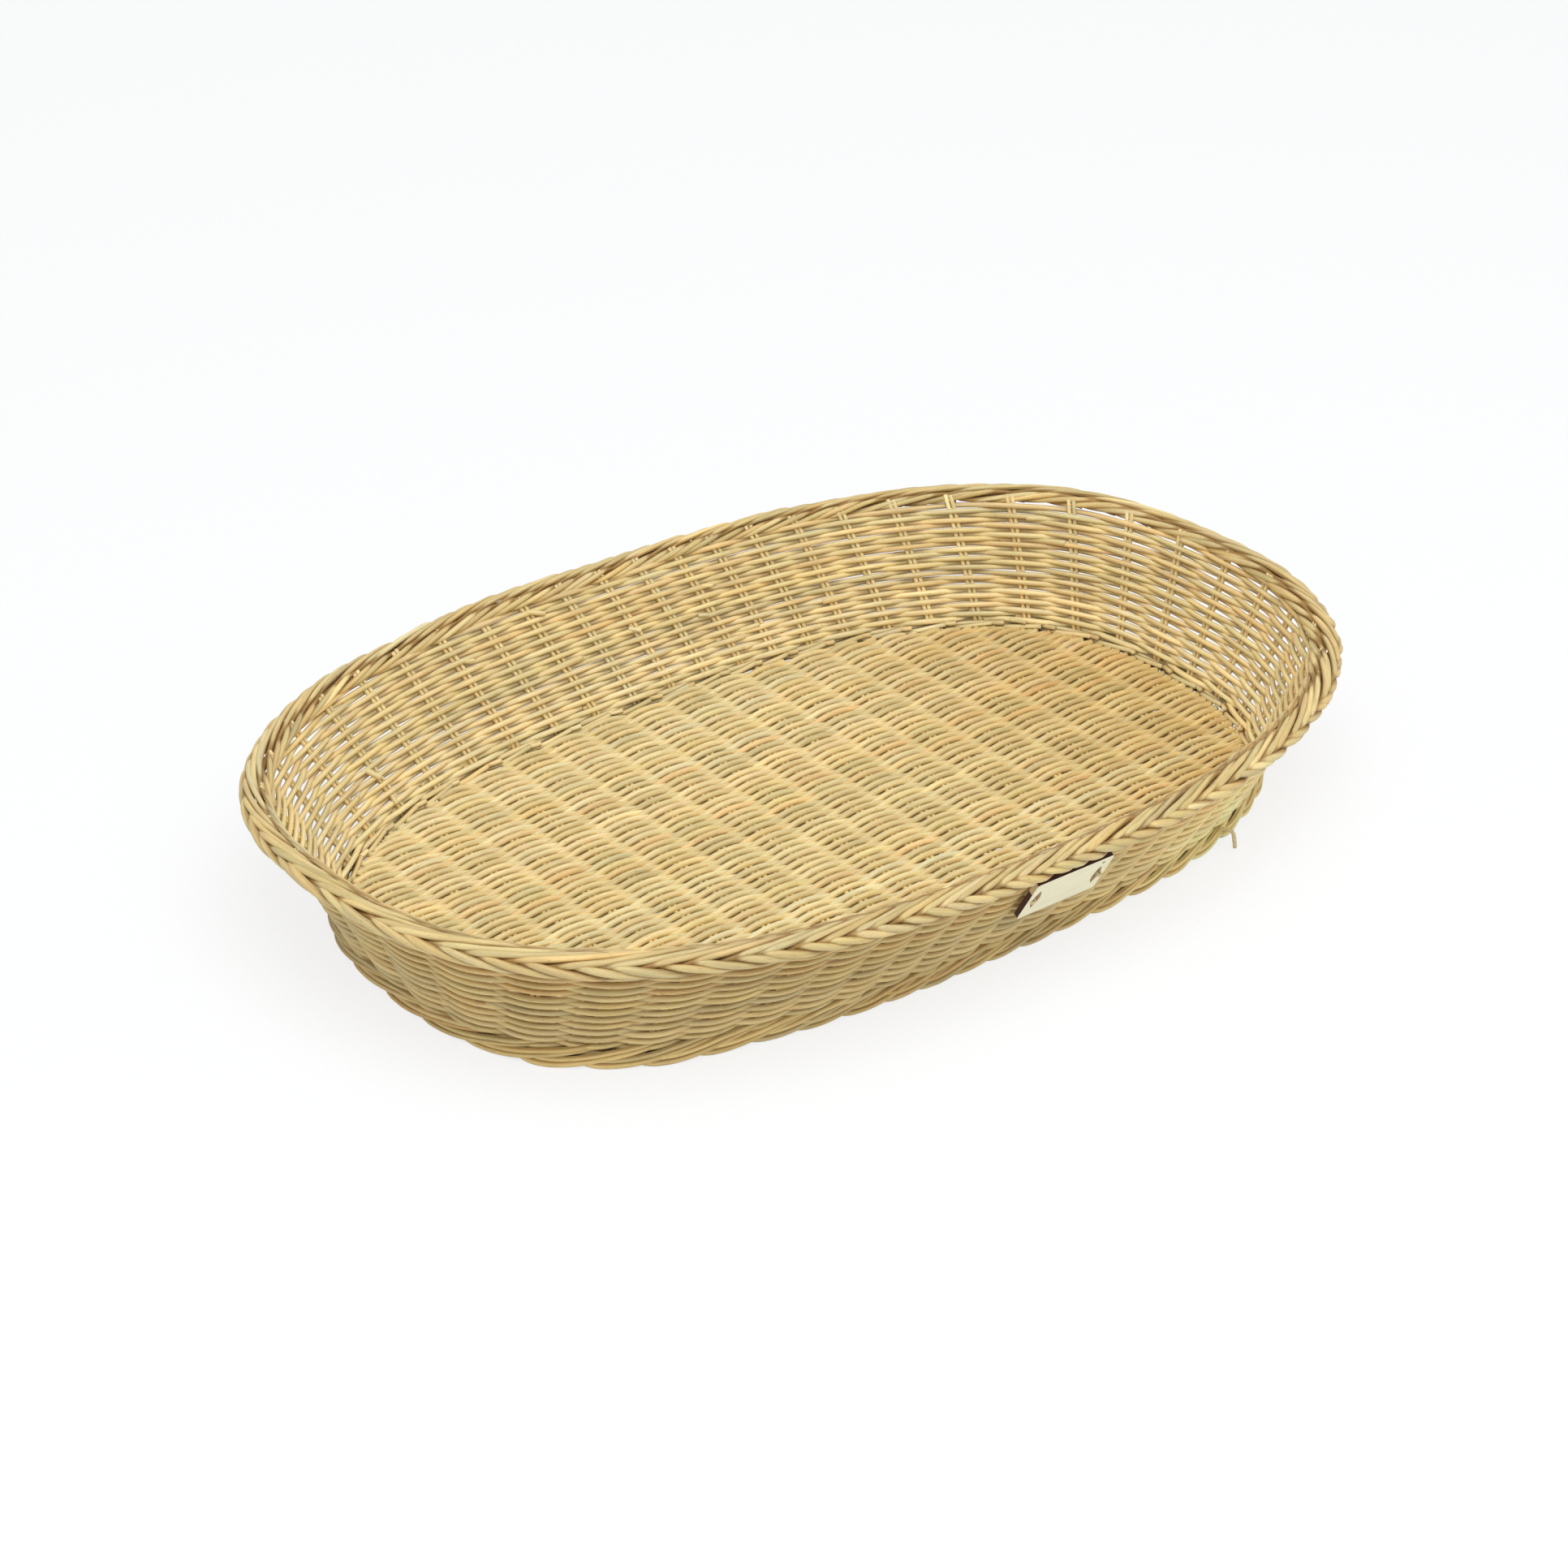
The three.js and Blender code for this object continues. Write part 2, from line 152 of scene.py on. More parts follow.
WALL_BOTTOM = node_box("wall_weave")[0][2]
WALL_SEAT_DROP = 7.6
WALL_BOTTOM_OUTSET = 4.2
WALL_TOP_INSET = 12.2
# Shares and millimetres: the wall's bottom lies further in along the front
FRONT_BASE_INSET = [(0.40, 0.0), (0.60, 0.0), (0.645, 3.2), (0.78, 3.2), (0.87, 0.6)]


def wall_frame(share, level):
    """Middle of the wall at a level from 0, its bottom, to 1, its top, with its outward, upward and
    face directions."""
    share = np.asarray(share, float)
    level = np.broadcast_to(np.asarray(level, float), share.shape)[..., None]
    low_plan, low_out, _ = floor_rail.at(share)
    high_plan, high_out, _ = rim_rail.at(share)
    outset = WALL_BOTTOM_OUTSET - round_profile(share, FRONT_BASE_INSET)
    low = np.concatenate([low_plan + low_out * outset[..., None],
                          np.full(share.shape + (1,), WALL_BOTTOM)], -1)
    high = np.concatenate([high_plan - high_out * WALL_TOP_INSET,
                           (rim_top(share) - WALL_SEAT_DROP)[..., None]], -1)
    rise = np.concatenate([np.maximum(level, 0), np.maximum(level, 0), level], -1)
    place = low + (high - low) * rise
    out = low_out + (high_out - low_out) * level
    out /= np.linalg.norm(out, axis=-1, keepdims=True)
    out = np.concatenate([out, np.zeros(share.shape + (1,))], -1)
    up = (high - low) / np.linalg.norm(high - low, axis=-1, keepdims=True)
    along = np.cross(np.array([0, 0, 1.0]), out)
    face = np.cross(along, up)
    face /= np.linalg.norm(face, axis=-1, keepdims=True)
    return place, out, up, face


def wall_level(share, z):
    """Level on the wall of a height above the ground."""
    return (z - WALL_BOTTOM) / (rim_top(share) - WALL_SEAT_DROP - WALL_BOTTOM)


WALL_PAIRS = 53
PAIR_DRIFT = 0.0149
PAIR_DRIFT_WAVES = [(-0.0103, -0.0092), (0.0122, 0.0018), (-0.0006, -0.0015), (0.0013, -0.0029)]
PAIR_LEAN = 0.006
PAIR_LEAN_SWING = 0.0115
PAIR_LEAN_PEAK = 0.15
FRONT_LEAN = 0.009
FRONT_LEAN_SHARE = 0.625
FRONT_LEAN_REACH = 0.06


def pair_share(index, level=0.5):
    """Share of a stake pair, or of a place between two pairs, at a level of the wall."""
    even = (np.asarray(index, float) + 0.5) / WALL_PAIRS
    share = even + PAIR_DRIFT
    for wave, (sine, cosine) in enumerate(PAIR_DRIFT_WAVES, 1):
        share = share + sine * np.sin(TAU * wave * even) + cosine * np.cos(TAU * wave * even)
    lean = PAIR_LEAN + PAIR_LEAN_SWING * np.cos(2 * TAU * (share - PAIR_LEAN_PEAK))
    lean = lean + FRONT_LEAN * hump(around(share, FRONT_LEAN_SHARE), FRONT_LEAN_REACH)
    return share + lean * (np.asarray(level, float) - 0.5)


def wander(places, rng, spacing, size):
    """Smooth random drift along a strand: a new value every so often, eased between."""
    steps = (np.asarray(places, float) - np.min(places)) / spacing
    values = rng.normal(0, size, int(steps.max()) + 3)
    low = np.floor(steps).astype(int)
    ease = smooth(steps - low)
    return values[low] * (1 - ease) + values[low + 1] * ease


def smooth_through(knots, values, wanted):
    """Smooth curve through values at growing knots, without overshoot at the ends."""
    knots, values = np.asarray(knots, float), np.asarray(values, float)
    slope = np.gradient(values, knots, axis=0)
    i = np.clip(np.searchsorted(knots, wanted, side="right") - 1, 0, len(knots) - 2)
    span = knots[i + 1] - knots[i]
    t = (wanted - knots[i]) / span
    if values.ndim > 1:
        t, span = t[:, None], span[:, None]
    return ((2 * t**3 - 3 * t**2 + 1) * values[i] + (t**3 - 2 * t**2 + t) * span * slope[i]
            + (-2 * t**3 + 3 * t**2) * values[i + 1] + (t**3 - t**2) * span * slope[i + 1])


CANE_TONES = np.array([
    (0.85, 0.68, 0.33),
    (0.89, 0.73, 0.38),
    (0.79, 0.64, 0.31),
    (0.86, 0.64, 0.30),
    (0.80, 0.67, 0.34),
    (0.91, 0.78, 0.44),
])
TONE_ODDS = [0.42, 0.28, 0.15, 0.05, 0.04, 0.06]
TONE_SPREAD = 0.025
HUE_SPREAD = 0.010
# Painted shade: the wall's outside lies in shade, so its outer face is tinted darker and warmer
OUTER_SHADE_TINT = np.array([0.85, 0.80, 0.70])
# Painted shade: the colours that canes darken towards down in the crevices, on the outer and inner
# faces and in the plaits
OUTER_CREVICE_SHADE = np.array([0.34, 0.22, 0.11])
INNER_CREVICE_SHADE = np.array([0.87, 0.77, 0.61])
PLAIT_CREVICE_SHADE = np.array([0.50, 0.38, 0.25])
# How deep under the face, in radii, a cane starts to darken with painted shade and is darkest
OUTER_SHADE_DEPTHS = (1.05, 3.1)
INNER_SHADE_DEPTHS = (3.1, 5.4)

SHADE_SPACING = 38
WARMTH_SPACING = 55
WARMTH_IN_BLUE = 1.6
GRAIN_START = 900
FACE_BLEND = 0.4
END_BULGE = 0.25
END_TONE = 0.8
# Part of its strip in the baked picture that a ring's faces take up
STRIP_LENGTH = 0.98
STRIP_MARGIN = 0.06
STRIP_WIDTH = 0.88


def cane_tone(rng):
    base = CANE_TONES[rng.choice(len(CANE_TONES), p=TONE_ODDS)]
    return base * rng.normal(1, TONE_SPREAD) * rng.normal(1, HUE_SPREAD, 3)


class Strands:
    """Canes that are gathered and made into one mesh."""

    def __init__(self, seed, outer_shade_depths=OUTER_SHADE_DEPTHS, inner_shade_depths=INNER_SHADE_DEPTHS,
                 outer_tint=1.0, crevice_shades=(OUTER_CREVICE_SHADE, INNER_CREVICE_SHADE), sides=8):
        self.turn = np.arange(sides) / sides * TAU
        # Painted shade: how deep the crevices' shade starts and is darkest, its colours, and the
        # outer face's tint
        self.crevices = outer_shade_depths, inner_shade_depths
        self.outer_tint = outer_tint * np.ones(3)
        self.crevice_shades = crevice_shades
        self.rng = np.random.default_rng(seed)
        self.items = []

    def add(self, points, radius, towards, sunk, across=None, tone=None, tint=1.0, mottle=0.05):
        """One cane through these points. towards is a direction, or one for each point, that its
        sides are counted from. sunk says how deep its middle lies under the face that across points
        out of, and under the face on the other side, which sets how dark its painted shade is."""
        points = np.asarray(points, float)
        radius = np.broadcast_to(np.asarray(radius, float), len(points))
        towards = np.broadcast_to(np.asarray(towards, float), points.shape)
        across = towards if across is None else across
        tone = cane_tone(self.rng) if tone is None else np.asarray(tone, float)
        run = np.concatenate([[0], np.cumsum(np.linalg.norm(np.diff(points, axis=0), axis=1))])
        shade = 1 + wander(run, self.rng, SHADE_SPACING, mottle)
        warm = wander(run, self.rng, WARMTH_SPACING, mottle / 2)
        hue = np.stack([1 + warm, np.ones_like(warm), 1 - WARMTH_IN_BLUE * warm], 1)
        colour = tone * tint * shade[:, None] * hue
        depth = np.broadcast_to(np.stack(np.broadcast_arrays(*sunk), -1), (len(points), 2))
        offset = self.rng.uniform(0, GRAIN_START)
        self.items.append((points, radius, towards, across, depth, run + offset, colour))

    def tube(self, points, radius, towards):
        """Direction of each corner from its ring's middle, and the rings with both end points."""
        along = np.gradient(points, axis=0)
        along /= np.linalg.norm(along, axis=1, keepdims=True)
        side = np.cross(along, towards)
        side /= np.linalg.norm(side, axis=1, keepdims=True)
        up = np.cross(side, along)
        spoke = (side[:, None, :] * np.cos(self.turn)[None, :, None]
                 + up[:, None, :] * np.sin(self.turn)[None, :, None])
        rings = points[:, None, :] + spoke * radius[:, None, None]
        first = points[0] - along[0] * radius[0] * END_BULGE
        last = points[-1] + along[-1] * radius[-1] * END_BULGE
        return spoke, [rings.reshape(-1, 3), first[None], last[None]]

    def tones(self, spoke, radius, across, depth, colour):
        """The corners' colours: tinted on the outer face, which is painted shade on the wall's and
        foot's outside, and darkened with painted shade down in the crevices.
        """
        facing = np.einsum("mnk,mk->mn", spoke, across)
        radius = radius[:, None]
        outer = eased(-FACE_BLEND, FACE_BLEND, facing)
        under = (outer * (depth[:, :1] - radius * facing)
                 + (1 - outer) * (depth[:, 1:] + radius * facing))
        outer_dark, inner_dark = (
            eased(radius * start, radius * stop, under) for start, stop in self.crevices)
        dark = blend_between(inner_dark, outer_dark, outer)
        crevice = blend_between(self.crevice_shades[1], self.crevice_shades[0], outer[..., None])
        face_tint = blend_between(np.ones(3), self.outer_tint, outer[..., None])
        shaded = colour[:, None, :] * face_tint * blend_between(1, crevice, dark[..., None])
        return [shaded.reshape(-1, 3), colour[:1] * END_TONE, colour[-1:] * END_TONE]

    def grain(self, radius, run):
        """The corners' places in the noise: across the cane, and along it."""
        radius = radius[:, None]
        rings = np.stack(np.broadcast_arrays(
            np.cos(self.turn) * radius, np.sin(self.turn) * radius, run[:, None]), -1)
        return [rings.reshape(-1, 3), [[0, 0, run[0]]], [[0, 0, run[-1]]]]

    def skin(self, count, ring, per_row, rows):
        """Faces of a cane of this many rings, and their places in the baked picture."""
        n = len(self.turn)
        i, j = np.meshgrid(np.arange(count - 1), np.arange(n), indexing="ij")
        k = (j + 1) % n
        quads = np.stack([i * n + j, i * n + k, (i + 1) * n + k, (i + 1) * n + j], -1)
        quads = quads.reshape(-1, 4)
        row, column = np.divmod(ring + i, per_row)
        u0, u1 = column / per_row, (column + STRIP_LENGTH) / per_row
        v0, v1 = ((row + STRIP_MARGIN + STRIP_WIDTH * at / n) / rows for at in (j, j + 1))
        quad_places = np.stack([u0, v0, u0, v1, u1, v1, u1, v0], -1).reshape(-1, 4, 2)
        a, b, last = np.arange(n), (np.arange(n) + 1) % n, (count - 1) * n
        caps = np.concatenate([np.stack([np.full(n, count * n), b, a], -1),
                               np.stack([np.full(n, count * n + 1), last + a, last + b], -1)])
        cap_place = [(ring % per_row + 0.5) / per_row, (ring // per_row + 0.5) / rows]
        return [quads, caps], [quad_places, np.broadcast_to(cap_place, (2 * n, 3, 2))]

    def build(self, name, replaces, rows):
        """One piece of all the canes, with their rings in this many rows of the baked picture."""
        verts, colours, grains, faces, places = [], [], [], [], []
        per_row = int(np.ceil(sum(len(item[0]) for item in self.items) / rows)) + 1
        base = ring = 0
        for points, radius, towards, across, depth, run, colour in self.items:
            spoke, corners = self.tube(points, radius, towards)
            skin, skin_places = self.skin(len(points), ring, per_row, rows)
            verts += corners
            colours += self.tones(spoke, radius, across, depth, colour)
            grains += self.grain(radius, run)
            faces += [part + base for part in skin]
            places += skin_places
            base += len(points) * len(self.turn) + 2
            ring += len(points)
        mesh = mesh_from(name, np.concatenate(verts) * MM, faces, places)
        tone = mesh.attributes.new("tone", "FLOAT_COLOR", "POINT")
        rgb = np.concatenate(colours)
        rgba = np.concatenate([rgb, np.ones((len(rgb), 1))], 1)
        tone.data.foreach_set("color", np.clip(rgba, 0, 1).astype(np.float32).ravel())
        grain = mesh.attributes.new("grain", "FLOAT_VECTOR", "POINT")
        grain.data.foreach_set("vector", np.concatenate(grains).astype(np.float32).ravel())
        place_piece(name, mesh, cane, "root", replaces)


def mesh_from(name, verts, faces, places=None):
    """A smooth mesh from vertices and lists of faces with the same number of corners."""
    mesh = bpy.data.meshes.new(name)
    sizes = np.concatenate([np.full(len(f), f.shape[1]) for f in faces])
    corners = np.concatenate([f.ravel() for f in faces])
    mesh.vertices.add(len(verts))
    mesh.vertices.foreach_set("co", np.asarray(verts, np.float32).ravel())
    mesh.loops.add(len(corners))
    mesh.loops.foreach_set("vertex_index", corners.astype(np.int32))
    mesh.polygons.add(len(sizes))
    starts = np.concatenate([[0], np.cumsum(sizes)[:-1]])
    mesh.polygons.foreach_set("loop_start", starts.astype(np.int32))
    mesh.polygons.foreach_set("use_smooth", np.ones(len(sizes), bool))
    if places is not None:
        layer = mesh.uv_layers.new(name="OFBake")
        uv = np.concatenate([p.reshape(-1, 2) for p in places])
        layer.data.foreach_set("uv", uv.astype(np.float32).ravel())
    mesh.update(calc_edges=True)
    mesh.validate()
    return mesh


def place_object(name, data):
    placed = bpy.data.objects.new(name, data)
    bpy.context.scene.collection.objects.link(placed)
    return placed


def place_piece(name, mesh, material, body, replaces):
    piece = place_object(name, mesh)
    mesh.materials.append(material)
    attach(piece, body)
    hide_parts(*replaces)


WHITE = (1, 1, 1, 1)
BUMP_DEPTH = 0.0002
# Where noise starts to count and counts in full
NOISE_RANGE = (0.3, 0.7)
FLECK_RANGE = (0.62, 0.74)
# How much noise there is across a cane, twice, and along it
FIBRES = (2.6, 2.6, 0.09)
BLOTCHES = (0.35, 0.35, 0.05)
FLECKS = (1.4, 1.4, 0.35)


class Tree:
    """The nodes of a material or of the world, linked as they are made."""

    def __init__(self, owner):
        owner.use_nodes = True
        self.nodes, self.links = owner.node_tree.nodes, owner.node_tree.links
        self.nodes.clear()

    def add(self, kind, inputs=(), **settings):
        """A node. Each input is a plain value, an output, or a node for its first output."""
        node = self.nodes.new("ShaderNode" + kind)
        for name, value in settings.items():
            setattr(node, name, value)
        for key, value in dict(inputs).items():
            if isinstance(value, bpy.types.Node):
                value = value.outputs[0]
            if isinstance(value, bpy.types.NodeSocket):
                self.links.new(value, node.inputs[key])
            else:
                node.inputs[key].default_value = value
        return node

    def math(self, operation, *values):
        return self.add("Math", enumerate(values), operation=operation)

    def vector(self, operation, *values):
        return self.add("VectorMath", enumerate(values), operation=operation)

    def scaled(self, colour, size):
        return self.add("VectorMath", {0: colour, "Scale": size}, operation="SCALE")

    def ramp(self, value, start, stop, low=0, high=1):
        return self.add("MapRange", {
            "Value": value, "From Min": start, "From Max": stop, "To Min": low, "To Max": high})

    def noise(self, place, detail, rough=0.5, scale=1):
        return self.add("TexNoise", {
            "Vector": place, "Scale": scale, "Detail": detail, "Roughness": rough})

    def surface(self, colour, rough, height, bump, shine=0.5):
        normal = self.add("Bump", {"Strength": bump, "Distance": BUMP_DEPTH, "Height": height})
        shader = self.add("BsdfPrincipled", {
            "Base Color": colour, "Roughness": rough, "Specular IOR Level": shine,
            "Normal": normal})
        self.add("OutputMaterial", {0: shader})


def new_material(name):
    material = bpy.data.materials.new(name)
    return material, Tree(material)


def make_cane():
    """Peeled cane: its tone comes with each strand, and fibres, blotches and dark flecks from noise
    that runs along it."""
    material, tree = new_material("cane")
    tone = tree.add("Attribute", attribute_name="tone").outputs["Color"]
    grain = tree.add("Attribute", attribute_name="grain").outputs["Vector"]
    fibres = tree.noise(tree.vector("MULTIPLY", grain, FIBRES), 4, 0.6)
    blotches = tree.noise(tree.vector("MULTIPLY", grain, BLOTCHES), 2)
    flecks = tree.noise(tree.vector("MULTIPLY", grain, FLECKS), 2)
    light = tree.math("MULTIPLY", tree.ramp(fibres, *NOISE_RANGE, 0.86, 1.1),
                      tree.ramp(blotches, *NOISE_RANGE, 0.88, 1.08))
    light = tree.math("MULTIPLY", light, tree.ramp(flecks, *FLECK_RANGE, 1, 0.72))
    rough = tree.ramp(fibres, *NOISE_RANGE, 0.56, 0.42)
    tree.surface(tree.scaled(tone, light), rough, fibres, bump=0.35, shine=0.42)
    return material


cane = make_cane()

# Painted light on the outside at the front right: how much paler each colour gets, where, and how
# far
FRONT_RIGHT_LIGHT = np.array([0.48, 0.52, 0.60])
FRONT_RIGHT_SHARE = 0.865
FRONT_RIGHT_REACH = 0.065


def painted_front_right_light(share, outside=1.0):
    """Painted light: the outside is paler and greener at the front right, where more light falls.
    """
    part = hump(np.mod(share, 1) - FRONT_RIGHT_SHARE, FRONT_RIGHT_REACH) * outside
    return 1 + FRONT_RIGHT_LIGHT * part[:, None]


def pass_over(turn, firmness):
    """A strand's swing from one side of the stakes to the other, 1 and -1 at the pairs."""
    return np.tanh(firmness * np.cos(np.pi * turn)) / np.tanh(firmness)


FLOOR_ROWS = 104
FLOOR_PITCH = 2 * floor_half[1] / FLOOR_ROWS
FLOOR_PAIRS = 19
FLOOR_PAIR_INSET = 14.1
FLOOR_PAIR_PITCH = 2 * (floor_half[0] - FLOOR_PAIR_INSET) / (FLOOR_PAIRS - 1)
FLOOR_WEAVER_RADIUS = 1.75
FLOOR_GIRTH_SPREAD = 0.03
FLOOR_GIRTH_DRIFT = (60, 0.025)
FLOOR_LINE_DRIFT = (30, 0.2)
FLOOR_HEIGHT_DRIFT = (34, 0.1)
FLOOR_SWING = 1.9
FLOOR_FIRMNESS = 0.9
FLOOR_EDGE = 9
FLOOR_STEP = 2.1
FEWEST_STEPS = 12
FLOOR_MOTTLE = 0.035
# Painted shade between the floor's rows: how deep, in radii, it starts and is darkest
FLOOR_SHADE_DEPTHS = (1.7, 4.6)
FLOOR_TINT = np.array([0.96, 0.95, 0.93])
FLOOR_WARM_TINT = np.array([0.88, 0.81, 0.70])
FLOOR_WARMTH_X = (40, 230)
STAKE_RADIUS = 1.2
FLOOR_STAKE_POINTS = 40
FLOOR_STAKE_DRIFT = (40, 0.12)


def floor_row_half(y):
    """Half the length of the floor at a distance from its middle line."""
    part = np.abs(y) / floor_half[1]
    return floor_half[0] * np.maximum(1 - part**FLOOR_SQUARENESS, 0) ** (1 / FLOOR_SQUARENESS)


def floor_tint(x):
    """The right end of the floor is warmer."""
    return blend_between(FLOOR_TINT, FLOOR_WARM_TINT, eased(*FLOOR_WARMTH_X, x)[:, None])


def floor_weave():
    """Rows that pass over and under the stakes and bend towards the next row at their ends."""
    # The rows get painted shade where they lie under their neighbours
    halves = {"front": Strands(11, FLOOR_SHADE_DEPTHS), "back": Strands(12, FLOOR_SHADE_DEPTHS)}
    rng = np.random.default_rng(7)
    turn = FLOOR_PITCH / 2
    reach = FLOOR_SWING + FLOOR_WEAVER_RADIUS
    for row in range(FLOOR_ROWS):
        y = (row + 0.5 - FLOOR_ROWS / 2) * FLOOR_PITCH
        half = floor_row_half(y) - FLOOR_WEAVER_RADIUS / 2
        x = np.linspace(-half, half, max(int(2 * half / FLOOR_STEP), FEWEST_STEPS))
        line = y + wander(x, rng, *FLOOR_LINE_DRIFT)
        left_way = 1 if row % 2 == 0 else -1
        for way, end in ((left_way, x[0]), (-left_way, x[-1])):
            near = np.clip(turn - np.abs(x - end), 0, turn)
            line = line + way * (turn - np.sqrt(np.maximum(turn**2 - near**2, 0)))
        edge = np.clip((half - np.abs(x)) / FLOOR_EDGE, 0, 1)
        swing = FLOOR_SWING * pass_over(x / FLOOR_PAIR_PITCH + row, FLOOR_FIRMNESS) * edge
        off = swing + wander(x, rng, *FLOOR_HEIGHT_DRIFT)
        points = np.stack([floor_middle[0] + x, floor_middle[1] + line, floor_middle[2] + off], 1)
        radius = FLOOR_WEAVER_RADIUS * rng.normal(1, FLOOR_GIRTH_SPREAD)
        radius = radius * (1 + wander(x, rng, *FLOOR_GIRTH_DRIFT))
        halves["front" if row < FLOOR_ROWS / 2 else "back"].add(
            points, radius, (0, 0, 1), (reach - off, reach + off),
            tint=floor_tint(x), mottle=FLOOR_MOTTLE)
    for side, strands in halves.items():
        strands.build("floor_weave_" + side, ("floor_weave",), rows=44)


def floor_stakes():
    strands = Strands(21)
    names = sorted(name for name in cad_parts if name.startswith("floor_stake_"))
    for name in names:
        low, high = node_box(name)
        x, z = (low[0] + high[0]) / 2, (low[2] + high[2]) / 2
        y = np.linspace(low[1], high[1], FLOOR_STAKE_POINTS)
        line = x + wander(y, strands.rng, *FLOOR_STAKE_DRIFT)
        points = np.stack([line, y, np.full_like(y, z)], 1)
        strands.add(points, STAKE_RADIUS, (0, 0, 1), (FLOOR_SWING, FLOOR_SWING))
    strands.build("floor_stakes", names, rows=20)


WALL_ROUNDS = 25
FIRST_ROUND = -1.3
WEAVER_RADIUS = 1.57
WEAVER_GIRTH_SPREAD = 0.04
WEAVER_GIRTH_DRIFT = (6, 0.03)
WEAVER_HEIGHT_DRIFT = (1.7, 0.26)
WEAVER_TIGHTER = 0.01
WEAVER_TIGHTEST_SHARE = 0.08
WEAVER_SAMPLES = 11
END_SLIM = 0.05
END_SLIM_PART = (0.35, 0.95)
WALL_SWING = 2.1
WALL_SWING_DRIFT = (1.3, 0.05)
WALL_SWING_OUTWARD = 0.1
WALL_FIRMNESS = 0.45
LOW_SWING = 0.35
LOW_SWING_LEVELS = (-0.06, 0.01)
OUTSIDE_BLEND = 0.8
# Pairs that a length of weaver passes, and the fewest for the last one
WEAVER_LENGTHS = (36, 95)
WEAVER_SHORTEST = 20
# How the ends of two lengths lap over each other
WEAVER_LAP = 0.6
LAP_TAPER = 0.9
LAP_RISE = 0.9
LAP_INWARD = 0.7


def wall_weave():
    """Lengths of weaver, wound up the wall one after the other."""
    # The outer faces get the painted shade tint of the wall's outside
    halves = {"lower": Strands(31, outer_tint=OUTER_SHADE_TINT),
              "upper": Strands(32, outer_tint=OUTER_SHADE_TINT)}
    rng = np.random.default_rng(33)
    total = WALL_PAIRS * WALL_ROUNDS
    first = start = WALL_PAIRS * FIRST_ROUND
    back = np.array([0.25])
    slant = np.linalg.norm(wall_frame(back, 1)[0] - wall_frame(back, 0)[0])
    reach = WALL_SWING + WEAVER_RADIUS
    while start < total - 1:
        stop = min(start + rng.uniform(*WEAVER_LENGTHS), total)
        if total - stop < WEAVER_SHORTEST:
            stop = total
        turn = np.arange(start - WEAVER_LAP, stop + WEAVER_LAP, 1 / WEAVER_SAMPLES)
        turn = turn[(turn >= first) & (turn <= total)]
        lap = (np.clip(1 - (turn - turn[0]) / LAP_TAPER, 0, 1)
               - np.clip(1 - (turn[-1] - turn) / LAP_TAPER, 0, 1))
        level = turn / total + (wander(turn, rng, *WEAVER_HEIGHT_DRIFT) + lap * LAP_RISE) / slant
        swing = WALL_SWING * pass_over(turn, WALL_FIRMNESS)
        swing = swing * (1 + wander(turn, rng, *WALL_SWING_DRIFT))
        swing = swing * blend_between(LOW_SWING, 1, eased(*LOW_SWING_LEVELS, level))
        off = swing + WALL_SWING_OUTWARD - np.abs(lap) * LAP_INWARD
        place, _, up, face = wall_frame(pair_share(turn % WALL_PAIRS, level), level)
        radius = WEAVER_RADIUS * rng.normal(1, WEAVER_GIRTH_SPREAD)
        radius = radius * (1 + wander(turn, rng, *WEAVER_GIRTH_DRIFT))
        tighter = WEAVER_TIGHTER * np.cos(TAU * (turn / WALL_PAIRS - WEAVER_TIGHTEST_SHARE))
        slim = END_SLIM * eased(*END_SLIM_PART, np.abs(np.cos(TAU * turn / WALL_PAIRS)))
        radius = radius * (1 + tighter) * (1 - slim)
        # Painted light: strands on the outside are paler at the front right
        tint = painted_front_right_light(pair_share(turn % WALL_PAIRS), eased(-OUTSIDE_BLEND, OUTSIDE_BLEND, off))
        halves["lower" if (start + stop) / 2 < total / 2 else "upper"].add(
            place + face * off[:, None], radius, up, (reach - off, reach + off), face, tint=tint)
        start = stop
    for side, strands in halves.items():
        strands.build("wall_weave_" + side, ("wall_weave",), rows=44)


STAKE_PAIR_PITCH = 2.9
STAKE_INWARD = 0.45
STAKE_LEVELS = np.linspace(-0.04, 1.06, 16)
STAKE_DRIFT = (0.3, 0.1)


def wall_stakes():
    strands = Strands(41)
    for pair in range(WALL_PAIRS):
        for way in (-1, 1):
            place, _, up, face = wall_frame(pair_share(pair, STAKE_LEVELS), STAKE_LEVELS)
            shift = way * STAKE_PAIR_PITCH / 2 + wander(STAKE_LEVELS, strands.rng, *STAKE_DRIFT)
            points = place + np.cross(up, face) * shift[:, None] - face * STAKE_INWARD
            strands.add(points, STAKE_RADIUS, face, (WALL_SWING, WALL_SWING))
    strands.build("wall_stakes", ("wall_stakes_and_rim",), rows=20)


# Where a weaver's cut end stands out of the inside: its two ends' shares and levels, and its radius
TAILS = [
    (0.3754, 0.415, 0.3736, 0.315, 1.6), (0.3735, 0.15, 0.3760, 0.08, 1.4),
    (0.3085, 0.762, 0.3055, 0.74, 1.3), (0.2415, 0.55, 0.2378, 0.505, 1.2),
    (0.2070, 0.69, 0.2035, 0.673, 1.2), (0.2118, 0.472, 0.2085, 0.457, 1.2),
    (0.2762, 0.94, 0.2705, 0.88, 1.3), (0.0795, 0.0, 0.0725, -0.01, 1.3),
]
TAIL_PARTS = np.linspace(0, 1, 9)
TAIL_STAND = (0.3, 2.6)
TAIL_BEND = 1.5


def weaver_tails():
    strands = Strands(45)
    stand = WALL_SWING + blend_between(*TAIL_STAND, TAIL_PARTS**TAIL_BEND)
    for share0, level0, share1, level1, radius in TAILS:
        share = blend_between(share0, share1, TAIL_PARTS)
        level = blend_between(level0, level1, TAIL_PARTS)
        place, _, up, face = wall_frame(share, level)
        strands.add(place - face * stand[:, None], radius, up, (0, 0), face)
    strands.build("weaver_tails", ("wall_weave",), rows=4)


